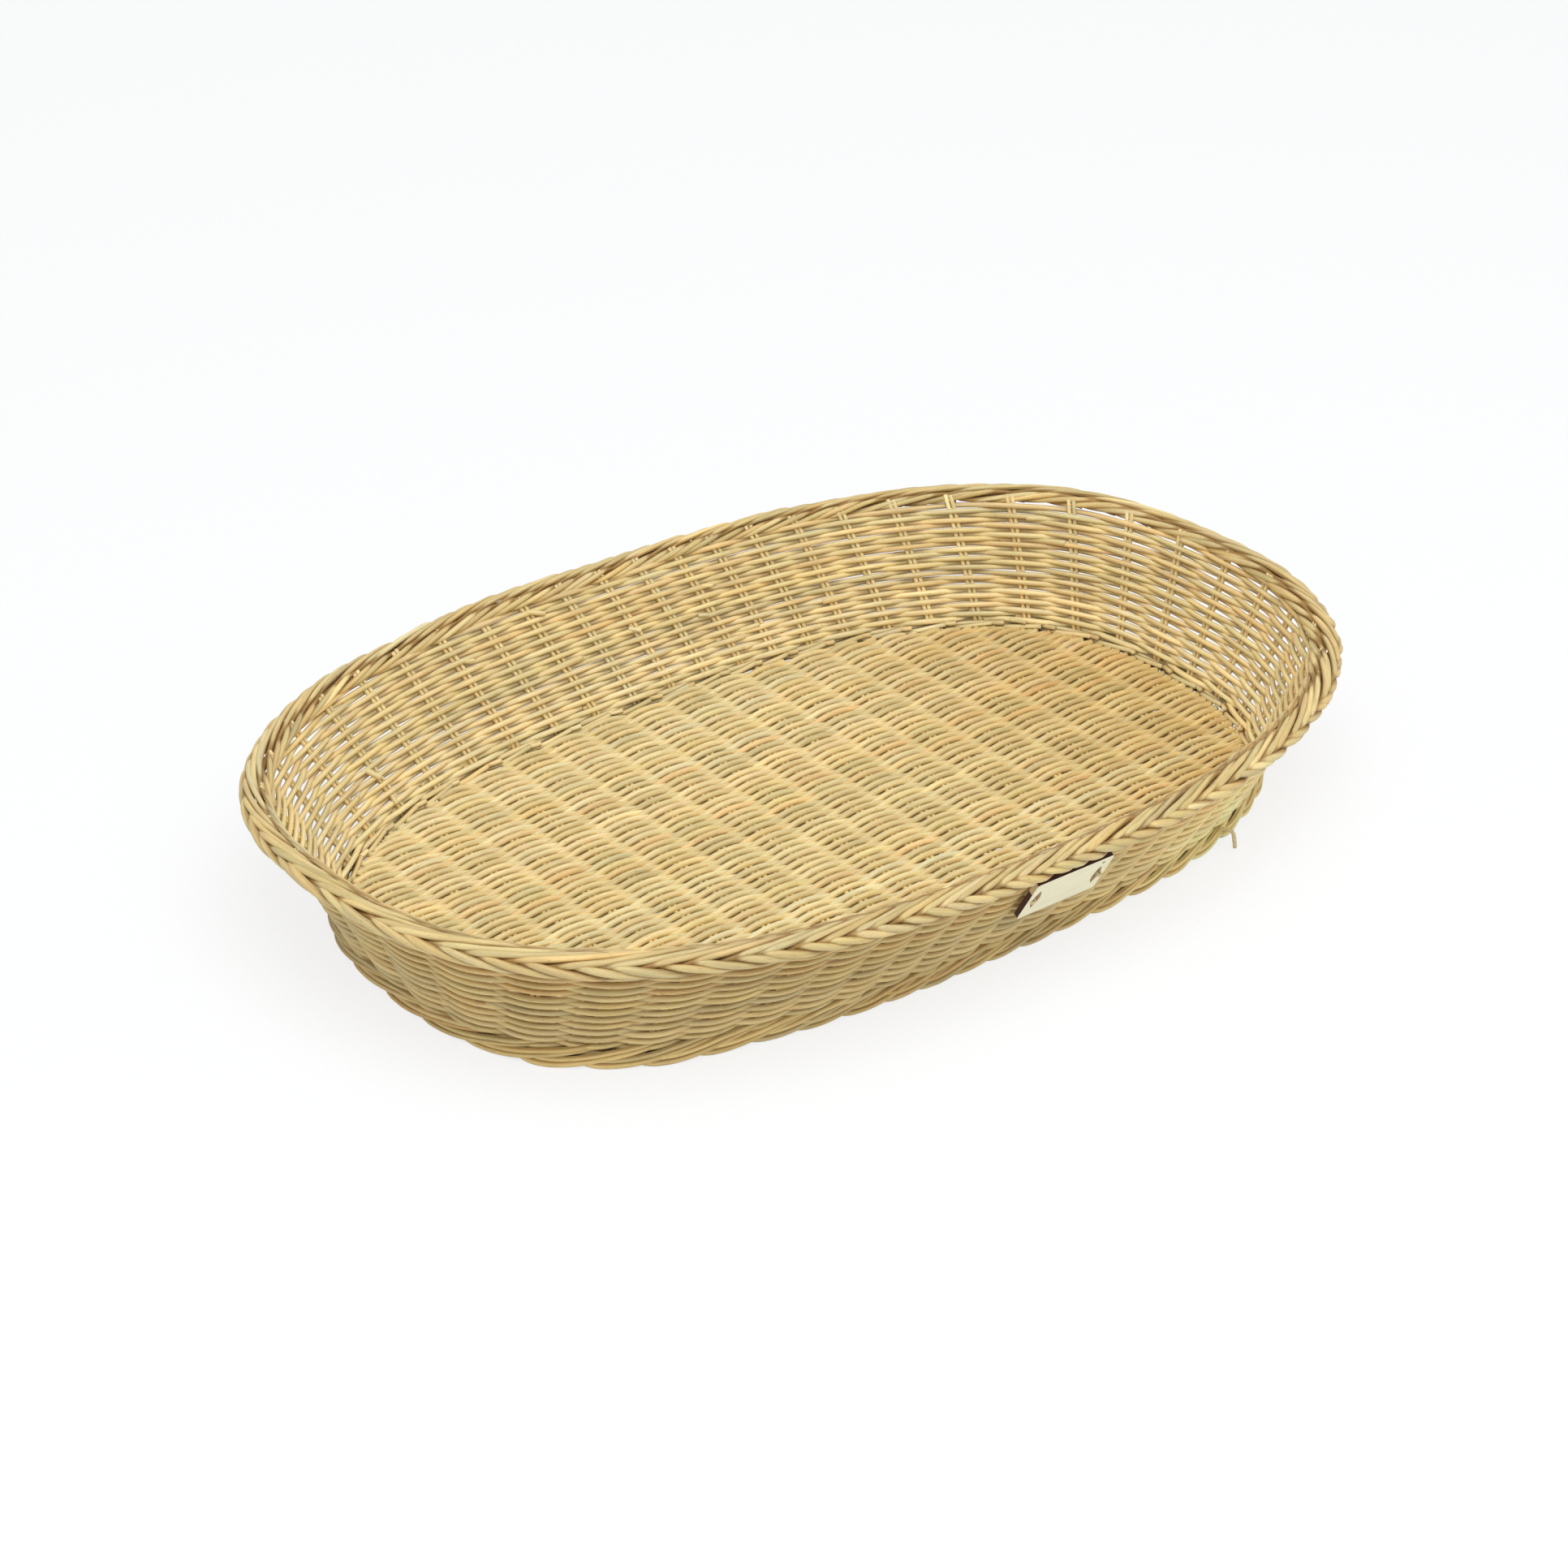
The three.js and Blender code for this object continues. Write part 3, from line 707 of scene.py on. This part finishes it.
# A stake's end, unit by unit along the rim: its run in units, its place round the roll in degrees
# from outward over the top, how far it stands out of the roll's own surface, and its girth
RIM_PATH = np.array([
    (-0.9, 262, -1.2, 1.0), (-0.3, 236, -2.8, 1.0), (0.2, 150, -4.6, 0.9), (0.65, 68, -4.6, 0.85),
    (0.95, 44, -2.8, 0.72), (1.2, 33, -0.7, 0.8), (1.5, 24, 0.5, 1.08), (2.05, 4, 0.6, 1.16),
    (2.6, -19, 0.2, 1.12), (3.15, -44, -1.1, 0.95), (3.6, -46, -3.2, 0.85), (4.1, -6, -4.8, 0.85),
    (4.5, 18, -3.9, 0.72), (4.85, 32, -2.0, 0.74), (5.2, 42, -0.1, 0.94), (6.2, 65, 0.3, 0.98),
    (7.3, 90, 0.2, 1.0), (8.0, 106, -0.5, 0.88), (8.5, 117, -2.2, 0.8), (9.0, 121, -3.4, 0.8),
    (9.45, 124, -2.4, 0.8), (9.8, 131, -1.0, 0.9), (10.2, 143, 0.3, 1.0), (10.9, 165, 0.5, 1.06),
    (11.6, 188, 0.1, 1.04), (12.1, 203, -1.0, 0.96), (12.5, 210, -2.6, 0.9),
])
RIM_STEP = 0.15
RIM_RUN_SPREAD = 0.13
RIM_LIFT_SPREAD = 0.2
RIM_LIFT_DRIFT = (1.8, 0.15)
RIM_DEGREES_DRIFT = (2.2, 4.0)
RIM_UNIT_START = 0.25
RIM_WIDTH = 18
RIM_DEPTH = 12.4
RIM_BACK_WIDTH = 0.83
RIM_BACK_DEPTH = 0.92
RIM_SLIM = 0.25
RIM_SLIM_SHARE = 0.07
RIM_SLIM_REACH = 0.09
RIM_SWELL = 0.12
RIM_SWELL_SHARE = 0.60
RIM_SWELL_REACH = 0.05
# Towards the back the roll dips unevenly: half how deep, how often, and how unevenly spaced
RIM_UNEVEN = 0.9
RIM_UNEVEN_WAVES = 7
RIM_UNEVEN_SHIFT = 0.35
RIM_UNEVEN_SHIFT_WAVES = 3
# At the right end the bend on the plait's outer side stands out less
RIM_RIGHT_CALM = 0.9
RIM_RIGHT_PART = (0.2, 0.95)
RIM_BEND_RUN = 2.4
RIM_BEND_REACH = 0.8
RIM_CANE_RADIUS = 1.45
RIM_CANE_FULLNESS = 0.25
RIM_CANE_FULL_PART = (-0.9, 0.3)
RIM_CANE_SWELL = 0.8
RIM_GIRTH_SPREAD = 0.04
RIM_SHADE_SPREAD = 0.05
RIM_FRONT_DARKER = 0.1
RIM_DARKEST_SHARE = 0.66
RIM_DARK_REACH = 0.1
RIM_TINT = np.array([0.86, 0.82, 0.73])
# Painted shade in the creases between the plait's canes: how deep, in radii, it starts and is
# darkest, on the front half and on the back half
PLAIT_SHADE_DEPTHS = (0.03, 0.62)
BACK_PLAIT_SHADE_DEPTHS = (0.10, 0.85)


def rim_fullness(share):
    """0 at the back, where the roll is slimmest, to 1 at the front."""
    return 0.5 - 0.5 * np.sin(TAU * share)


def cane_fullness(share):
    """The plait's canes are thin along the back and thick everywhere else."""
    return eased(*RIM_CANE_FULL_PART, -np.sin(TAU * share))


def rim_swell(share):
    """The roll is fuller at the front left, where its units are longest."""
    return 1 + RIM_SWELL * hump(around(share, RIM_SWELL_SHARE), RIM_SWELL_REACH)


def rim_dip(share):
    shift = RIM_UNEVEN_SHIFT * np.sin(TAU * RIM_UNEVEN_SHIFT_WAVES * share)
    waves = RIM_UNEVEN_WAVES * share + shift
    return RIM_UNEVEN * (1 + np.sin(TAU * waves)) * (1 - rim_fullness(share))


def rim_points(share, degrees, lift, radius):
    """Points on the roll, and the directions out of it."""
    plan, out, _ = rim_rail.at(share)
    full, swell = rim_fullness(share), rim_swell(share)
    slim = 1 - RIM_SLIM * hump(around(share, RIM_SLIM_SHARE), RIM_SLIM_REACH)
    half_width = RIM_WIDTH / 2 * blend_between(RIM_BACK_WIDTH, 1, full) * swell * slim
    half_depth = RIM_DEPTH / 2 * blend_between(RIM_BACK_DEPTH, 1, full) * swell
    cos, sin = np.cos(np.radians(degrees)), np.sin(np.radians(degrees))
    outward = -half_width + (half_width - radius + lift) * cos
    z = rim_top(share) - half_depth + (half_depth - radius + lift) * sin - rim_dip(share)
    points = np.concatenate([plan + out * outward[:, None], z[:, None]], 1)
    return points, np.concatenate([out * cos[:, None], sin[:, None]], 1)


def rim_plait():
    """The stakes' ends, each bent over its neighbours round the roll."""
    # Both halves get painted shade in the creases between their canes
    halves = [Strands(seed, crevice, crevice, RIM_TINT, (PLAIT_CREVICE_SHADE,) * 2, sides=10)
              for seed, crevice in ((51, BACK_PLAIT_SHADE_DEPTHS), (52, PLAIT_SHADE_DEPTHS))]
    rng = np.random.default_rng(53)
    units = 2 * WALL_PAIRS
    for unit in range(units):
        run = np.arange(RIM_PATH[0, 0], RIM_PATH[-1, 0], RIM_STEP)
        degrees, lift, girth = smooth_through(RIM_PATH[:, 0], RIM_PATH[:, 1:], run).T
        run = run + rng.normal(0, RIM_RUN_SPREAD)
        proud = rng.normal(0, RIM_LIFT_SPREAD)
        degrees = degrees + wander(run, rng, *RIM_DEGREES_DRIFT)
        lift = lift + proud + wander(run, rng, *RIM_LIFT_DRIFT)
        share = pair_share((unit + run) / 2 - RIM_UNIT_START, 1.0)
        right = eased(*RIM_RIGHT_PART, np.cos(TAU * share))
        lift = lift - RIM_RIGHT_CALM * right * hump(run - RIM_BEND_RUN, RIM_BEND_REACH)
        swell = (rim_swell(share) - 1) * RIM_CANE_SWELL
        radius = RIM_CANE_RADIUS + RIM_CANE_FULLNESS * cane_fullness(share) + swell
        radius = radius * girth * rng.normal(1, RIM_GIRTH_SPREAD)
        points, away = rim_points(share, degrees, lift, radius)
        darker = RIM_FRONT_DARKER * hump(share - RIM_DARKEST_SHARE, RIM_DARK_REACH)
        tint = rng.normal(1, RIM_SHADE_SPREAD) * (1 - darker)
        sunk = radius - lift
        halves[unit * 2 // units].add(points, radius, away, (sunk, sunk), tint=tint[:, None])
    for side, strands in enumerate(halves, 1):
        strands.build(f"rim_plait_{side}", ("wall_stakes_and_rim",), rows=44)


# A foot strand: its run in pairs, its height above the ground, and how far outside the wall's
# middle it lies
FOOT_PATH = np.array([
    (-1.3, 6.9, -2.6), (-0.9, 6.0, -3.6), (-0.65, 5.0, -3.2), (-0.42, 3.9, -1.4),
    (-0.22, 2.9, 2.2), (-0.1, 2.3, 5.0), (0.06, 1.8, 6.6), (0.28, 1.7, 7.2), (0.6, 2.3, 7.3),
    (0.95, 3.7, 6.9), (1.3, 5.5, 6.2), (1.6, 7.1, 5.4), (1.85, 8.5, 4.2), (2.05, 9.5, 2.4),
    (2.2, 10.0, 0.8),
])
# Shares and millimetres: how much further in its outer side lies
FOOT_INSET = [(0.0, 2.0), (0.42, 2.0), (0.49, 3.4), (0.54, 3.4), (0.572, 1.0),
              (0.605, 1.2), (0.65, 3.4), (0.78, 3.2), (0.84, 2.6)]
FOOT_STEP = 0.06
FOOT_RUN_SPREAD = 0.05
FOOT_OUT_DRIFT = (0.8, 0.12)
FOOT_HEIGHT_DRIFT = (0.8, 0.15)
FOOT_CANE_RADIUS = 1.5
FOOT_GIRTH_SPREAD = 0.05
FOOT_SHADE_SPREAD = 0.06
FOOT_FACE = 7.2
FOOT_SHADE = 0.08
FOOT_CLEARANCE = 0.05
FOOT_STEEPER = 0.3
FOOT_STEEPEST_SHARE = 0.86
FOOT_STEEP_REACH = 0.09
# How a pair's second strand lies to its first
FOOT_SECOND_START = -0.6
FOOT_SECOND_INWARD = 0.6
FOOT_SECOND_SHIFT = 0.06
FOOT_CANE_PITCH = 2.85
# Painted shade on the foot: how deep in its crevices it starts and is darkest, its outer face's
# tint and its crevice colour
FOOT_SHADE_DEPTHS = (0.12, 0.95)
FOOT_SHADE_TINT = OUTER_SHADE_TINT * 1.1
FOOT_CREVICE_SHADE = PLAIT_CREVICE_SHADE * 0.9
FOOT_CORE_HEIGHTS = (2.4, 4.9, 7.4)
FOOT_CORE_DRIFT = (1.5, 0.15)
FOOT_CORE_OUT = 0.9
FOOT_CORE_SWING = 0.8
FOOT_CORE_RADIUS = 1.35
FOOT_CORE_DEPTH = 2
# Painted shade: the rounds inside are darkened so that the holes between the foot's strands look
# dark
FOOT_CORE_SHADE = 0.4
FOOT_CORE_STEP = 0.125
FOOT_CORE_LAP = 0.6


def foot_reach(share):
    """The strands of the foot run steeper at the front right."""
    return 1 - FOOT_STEEPER * hump(share - FOOT_STEEPEST_SHARE, FOOT_STEEP_REACH)


def foot_plait():
    """Two strands for each pair, which come out near the ground and slant up, and rounds inside."""
    # The foot's strands get painted shade in their crevices and on their outer face
    strands = Strands(61, FOOT_SHADE_DEPTHS, FOOT_SHADE_DEPTHS, FOOT_SHADE_TINT, (FOOT_CREVICE_SHADE,) * 2)
    rng = strands.rng
    for pair in range(WALL_PAIRS):
        jitter = rng.normal(0, FOOT_RUN_SPREAD)
        stretch = foot_reach(pair_share(pair, 0.0))
        for way in (0, 1):
            start = FOOT_SECOND_START if way else FOOT_PATH[0, 0]
            run = np.arange(start, FOOT_PATH[-1, 0], FOOT_STEP)
            z, off = smooth_through(FOOT_PATH[:, 0], FOOT_PATH[:, 1:], run).T
            off = off - way * FOOT_SECOND_INWARD + wander(run, rng, *FOOT_OUT_DRIFT)
            out_part = np.clip(off / FOOT_FACE, 0, 1)
            z = z + way * FOOT_CANE_PITCH + wander(run, rng, *FOOT_HEIGHT_DRIFT)
            share = pair_share(pair + run * stretch + way * FOOT_SECOND_SHIFT + jitter, 0.0)
            off = off - round_profile(share, FOOT_INSET) * out_part
            place, out, _, face = wall_frame(share, wall_level(share, z))
            points = place + out * off[:, None]
            radius = FOOT_CANE_RADIUS * rng.normal(1, FOOT_GIRTH_SPREAD)
            points[:, 2] = np.maximum(points[:, 2], radius + FOOT_CLEARANCE)
            sunk = radius + FOOT_SHADE * FOOT_FACE * (1 - out_part)
            # Painted light: the foot is paler at the front right
            tint = rng.normal(1, FOOT_SHADE_SPREAD) * painted_front_right_light(share)
            strands.add(points, radius, face, (sunk, radius), tint=tint)
    # Rounds inside, painted dark as the shade in the holes between the strands
    for z in FOOT_CORE_HEIGHTS:
        turn = np.arange(0, WALL_PAIRS + FOOT_CORE_LAP, FOOT_CORE_STEP)
        share = pair_share(turn % WALL_PAIRS, 0.0)
        level = wall_level(share, z + wander(turn, rng, *FOOT_CORE_DRIFT))
        place, out, _, face = wall_frame(share, level)
        off = FOOT_CORE_OUT + FOOT_CORE_SWING * np.cos(np.pi * turn + z)
        points = place + out * off[:, None]
        strands.add(points, FOOT_CORE_RADIUS, face, (FOOT_CORE_DEPTH, 0), tint=FOOT_CORE_SHADE)
    strands.build("foot_plait", ("foot_border",), rows=30)


TAG_FACE = (0.93, 0.87, 0.62)
# Burnt dark brown, darkened further with painted shade for the gap behind the tag
TAG_BURN_AND_SHADE = (0.060, 0.018, 0.012, 1)
TAG_SLOT = (0.70, 0.50, 0.28, 1)
TAG_EDGE_INSET = 1.2
TAG_GRAIN = (60, 60, 900)
RAFFIA = (0.80, 0.68, 0.40)
RAFFIA_GRAIN = 700
TIE_RADIUS = 0.42
TIE_INNER, TIE_OUTER = 20.4, 22.6
TIE_BACK = 3.0
TIE_TURNS = 2
TIE_PITCH = 1.1
TIE_POINTS = 72
TIE_SQUARENESS = 0.45


def tag_face():
    """The way the tag faces: its largest flat side, turned away from the middle of the basket."""
    sums = {}
    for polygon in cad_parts["tag_plate"].data.polygons:
        key = tuple(round(value, 2) for value in polygon.normal)
        sums[key] = sums.get(key, 0) + polygon.area
    return max((way for way in sums if way[1] < 0), key=sums.get)


def tag_axes(face):
    """The tag's directions along and up its face, its middle and half its sizes."""
    face = np.array(face)
    along = np.array([-face[1], face[0], 0])
    along /= np.linalg.norm(along)
    upward = np.cross(face, along)
    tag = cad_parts["tag_plate"]
    corners = np.array([tag.matrix_world @ vertex.co for vertex in tag.data.vertices]) / MM
    reach = np.stack([corners @ along, corners @ upward, corners @ face], 1)
    low, high = reach.min(0), reach.max(0)
    middle = (along * (low[0] + high[0]) / 2 + upward * (low[1] + high[1]) / 2
              + face * (low[2] + high[2]) / 2)
    return along, upward, middle, (high - low) / 2


def make_plywood(face):
    """Pale birch ply with a faint grain on the face. Its outer sides are burnt dark brown, made
    darker with painted shade for the gap behind the tag, and those of its slots and hole are
    lighter."""
    material, tree = new_material("plywood")
    place = tree.add("TexCoord").outputs["Object"]
    grain = tree.noise(tree.vector("MULTIPLY", place, TAG_GRAIN), 4)
    birch = tree.scaled(TAG_FACE, tree.ramp(grain, *NOISE_RANGE, 0.90, 1.04))
    surface = tree.add("NewGeometry").outputs
    facing = tree.vector("DOT_PRODUCT", surface["True Normal"], face).outputs["Value"]
    along, upward, middle, half = tag_axes(face)
    within = []
    for way, size in ((along, half[0]), (upward, half[1])):
        at = tree.vector("DOT_PRODUCT", surface["Position"], way).outputs["Value"]
        far = tree.math("ABSOLUTE", tree.math("SUBTRACT", at, float(np.dot(way, middle)) * MM))
        within.append(tree.math("LESS_THAN", far, (size - TAG_EDGE_INSET) * MM))
    # Outer sides: burnt colour with painted shade; sides of slots and hole lighter
    edge = tree.add("Mix", {
        "A": TAG_BURN_AND_SHADE, "B": TAG_SLOT, "Factor": tree.math("MULTIPLY", *within)}, data_type="RGBA")
    colour = tree.add("Mix", {
        "A": edge.outputs["Result"], "B": birch, "Factor": tree.ramp(facing, 0.8, 0.9),
    }, data_type="RGBA")
    tree.surface(colour.outputs["Result"], 0.62, grain, bump=0.2)
    return material


def make_raffia():
    """Dry split cane without a strand's own tone: pale, with fibres."""
    material, tree = new_material("raffia")
    fibres = tree.noise(tree.add("TexCoord").outputs["Object"], 4, scale=RAFFIA_GRAIN)
    tint = tree.scaled(RAFFIA, tree.ramp(fibres, *NOISE_RANGE, 0.78, 1.08))
    tree.surface(tint, 0.6, fibres, bump=0.3)
    return material


def dress(node, material):
    """Give a part that shows its own solid its material."""
    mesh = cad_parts[node].data
    mesh.materials.clear()
    mesh.materials.append(material)


def squared(wave):
    """A wave with flattened crests, for a loop that is nearly a rectangle."""
    return np.sign(wave) * np.abs(wave) ** TIE_SQUARENESS


def tag_ties():
    """Slim split cane that goes twice through each slot and into the wall behind. Its outer side
    runs inside the edge of the bar beyond the slot."""
    face = np.array(tag_face())
    along, upward, middle, half = tag_axes(face)
    turn = np.linspace(0, TIE_TURNS * TAU, TIE_POINTS)
    across = (TIE_OUTER + TIE_INNER) / 2 + (TIE_OUTER - TIE_INNER) / 2 * squared(np.cos(turn))
    front, back = half[2] + TIE_RADIUS, -half[2] - TIE_BACK
    depth = (front + back) / 2 + (front - back) / 2 * squared(np.sin(turn))
    for way, side in ((-1, "left"), (1, "right")):
        node = "tag_tie_" + side
        low, high = node_box(node)
        rise = float(np.dot((low + high) / 2 - middle, upward))
        shift = rise + (turn / TAU - TIE_TURNS / 2) * TIE_PITCH
        points = (middle + along * (way * across)[:, None] + face * depth[:, None]
                  + upward * shift[:, None])
        strands = Strands(71)
        strands.add(points, TIE_RADIUS, upward, (0, 0), tone=RAFFIA)
        strands.build("tag_tie_raffia_" + side, (node,), rows=4)


GROUND_HALF = 6
GROUND_TONE = (0.935, 0.97, 1, 1)
GROUND_GLOW = 0.79
SKY_LIGHT = 0.60
LAMP_PLACE = (-0.3, -0.85, 2.05)
LAMP_SIZE = 1.8
LAMP_POWER = 31


def lay_ground():
    """White ground that takes shadows. For the camera it mostly glows, which keeps it white."""
    a = GROUND_HALF
    corners = [(-a, -a, 0), (a, -a, 0), (a, a, 0), (-a, a, 0)]
    mesh = mesh_from("floor", corners, [np.array([[0, 1, 2, 3]])])
    floor = place_object("floor", mesh)
    material, tree = new_material("floor")
    paint = tree.add("BsdfDiffuse", {"Color": GROUND_TONE})
    glow = tree.add("Emission", {"Color": WHITE, "Strength": 1})
    seen = tree.math("MULTIPLY", tree.add("LightPath").outputs["Is Camera Ray"], GROUND_GLOW)
    tree.add("OutputMaterial", {0: tree.add("MixShader", {0: seen, 1: paint, 2: glow})})
    mesh.materials.append(material)


def light_studio():
    """Even light from all round, a white backdrop, and a large soft lamp above the front."""
    world = bpy.data.worlds.new("studio")
    bpy.context.scene.world = world
    tree = Tree(world)
    rays = tree.add("LightPath").outputs
    seen = tree.math("MAXIMUM", rays["Is Camera Ray"], rays["Is Glossy Ray"])
    seen = tree.math("MAXIMUM", seen, rays["Is Transmission Ray"])
    light = tree.add("Background", {"Color": WHITE, "Strength": SKY_LIGHT})
    backdrop = tree.add("Background", {"Color": WHITE, "Strength": 1})
    tree.add("OutputWorld", {0: tree.add("MixShader", {0: seen, 1: light, 2: backdrop})})
    lamp_data = bpy.data.lights.new("overhead", "AREA")
    lamp_data.shape = "RECTANGLE"
    lamp_data.size, lamp_data.size_y = LAMP_SIZE, LAMP_SIZE
    lamp_data.energy = LAMP_POWER
    lamp = place_object("overhead", lamp_data)
    lamp.location = LAMP_PLACE
    lamp.rotation_euler = (Vector((0, 0, 0)) - lamp.location).to_track_quat("-Z", "Y").to_euler()


CAMERA_AZIMUTH = np.radians(-37.63)
CAMERA_ELEVATION = np.radians(30.60)
CAMERA_DISTANCE = 2319.8
CAMERA_TARGET = Vector((18.4, 42.1, 1.7)) * MM


def aim_camera():
    camera_data = bpy.data.cameras.new("camera")
    camera_data.sensor_width = 36
    camera_data.lens = 99
    camera = place_object("camera", camera_data)
    back = Vector((np.sin(CAMERA_AZIMUTH) * np.cos(CAMERA_ELEVATION),
                   -np.cos(CAMERA_AZIMUTH) * np.cos(CAMERA_ELEVATION), np.sin(CAMERA_ELEVATION)))
    camera.location = CAMERA_TARGET + back * CAMERA_DISTANCE * MM
    camera.rotation_euler = back.to_track_quat("Z", "Y").to_euler()
    bpy.context.scene.camera = camera
    bpy.context.scene.view_settings.view_transform = "Standard"


floor_weave()
floor_stakes()
wall_weave()
wall_stakes()
weaver_tails()
rim_plait()
foot_plait()
dress("tag_plate", make_plywood(tag_face()))
tag_ties()
dress("loose_cane_end", make_raffia())
lay_ground()
light_studio()
aim_camera()
